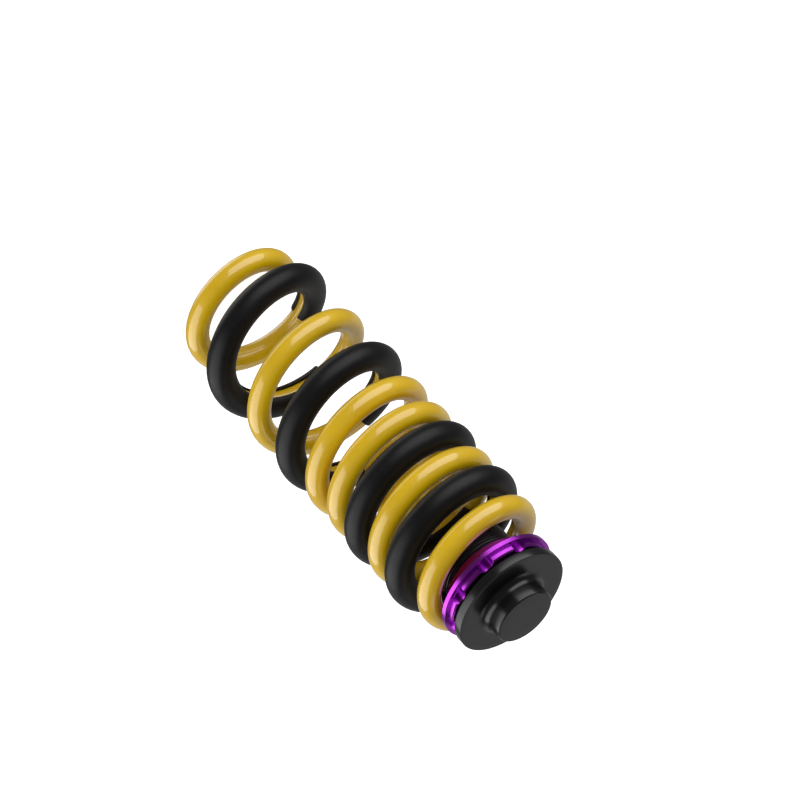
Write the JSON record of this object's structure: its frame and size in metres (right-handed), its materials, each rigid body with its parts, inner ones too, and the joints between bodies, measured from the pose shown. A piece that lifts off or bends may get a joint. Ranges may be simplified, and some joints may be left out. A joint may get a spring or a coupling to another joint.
{
  "type": "coil spring with height adjuster",
  "caption": "Long yellow progressive coil spring wearing split black hoses, seated on a slotted purple ring that screws along a threaded tube under a round mounting plate.",
  "frame": {"origin": "centre of the mounting plate's seating face, on the spring's axis", "axes": "+Z through the locating nose, up into the vehicle, so the spring hangs along -Z; X and Y span the seating face"},
  "size_m": [0.1004, 0.1004, 0.3008],
  "materials": {
    "yellow_coat": "gloss",
    "hose_rubber": "satin",
    "purple_anodised": "anodised, gloss",
    "screw_steel": "dark steel",
    "pad_plastic": "matte",
    "black_anodised": "anodised, gloss",
    "plate_satin_black": "satin"
  },
  "bodies": {
    "adjuster": {"mounting_plate": "plate_satin_black", "threaded_tube": "black_anodised"},
    "spring": {"main_spring": "yellow_coat"},
    "ring": {"adjusting_ring": "purple_anodised", "lock_screw": "screw_steel", "lock_pad": "pad_plastic"},
    "hose_1": {"protective_hose_1": "hose_rubber"},
    "hose_2": {"protective_hose_2": "hose_rubber"},
    "hose_3": {"protective_hose_3": "hose_rubber"},
    "hose_4": {"protective_hose_4": "hose_rubber"}
  },
  "joints": [
    {"name": "ring_turn", "type": "hinge", "parent": "spring", "child": "ring", "pos_m": [0, 0, -0.012], "axis": [0, 0, -1], "range_deg": [-181, 3601]},
    {"name": "ring_height", "type": "slide", "parent": "adjuster", "child": "spring", "axis": [0, 0, -1], "range_m": [-0.001, 0.02]},
    {"name": "spring_compression", "type": "slide", "parent": "spring", "child": "hose_1", "axis": [0, 0, 1], "range_m": [0, 0.0431], "stiffness_N_per_m": 120000, "deforming": ["main_spring", "protective_hose_1"]},
    {"name": "hose_2_follow", "type": "slide", "parent": "spring", "child": "hose_2", "axis": [0, 0, 1], "range_m": [0, 0.0296], "deforming": ["protective_hose_2"]},
    {"name": "hose_3_follow", "type": "slide", "parent": "spring", "child": "hose_3", "axis": [0, 0, 1], "range_m": [0, 0.0152], "deforming": ["protective_hose_3"]},
    {"name": "hose_4_follow", "type": "slide", "parent": "spring", "child": "hose_4", "axis": [0, 0, 1], "range_m": [0, 0.0081], "deforming": ["protective_hose_4"]}
  ],
  "couplings": [
    {"joint": "ring_turn", "follows": "ring_height", "rad_per_m": 3141.6},
    {"joint": "hose_2_follow", "follows": "spring_compression", "ratio": 0.68429},
    {"joint": "hose_3_follow", "follows": "spring_compression", "ratio": 0.3514},
    {"joint": "hose_4_follow", "follows": "spring_compression", "ratio": 0.18647}
  ]
}
